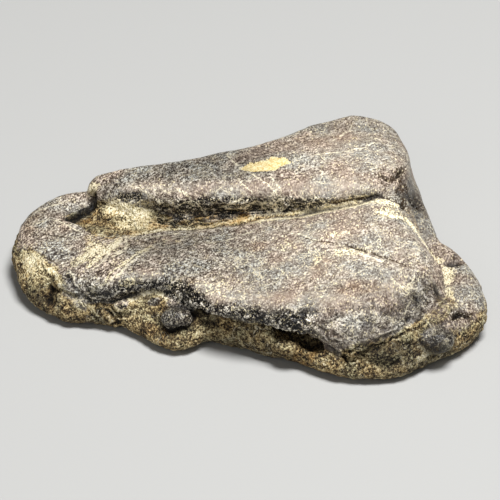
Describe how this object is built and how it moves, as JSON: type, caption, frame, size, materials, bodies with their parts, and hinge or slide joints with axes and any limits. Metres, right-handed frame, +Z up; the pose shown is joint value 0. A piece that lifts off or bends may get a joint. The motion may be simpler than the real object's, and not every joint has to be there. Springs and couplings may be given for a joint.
{
  "type": "fossil dinosaur jaw",
  "caption": "Worn fossil jaw fragment lying on its flat underside: a smooth bone plate and a raised bar with a furrow between them, on a rough stony body.",
  "frame": {"origin": "middle of the bounding box at the level of the flat underside", "axes": "+X along the jaw's length towards its small lobe, +Y from the rough front edge towards the raised bar, +Z up from the underside"},
  "size_m": [0.053, 0.041, 0.011],
  "materials": {
    "fossil_bone": "weathered fossil bone, smooth and dully polished on its upper faces, with cream veins and granular matrix"
  },
  "bodies": {
    "root": {"jaw_bone": "fossil_bone"}
  },
  "joints": []
}
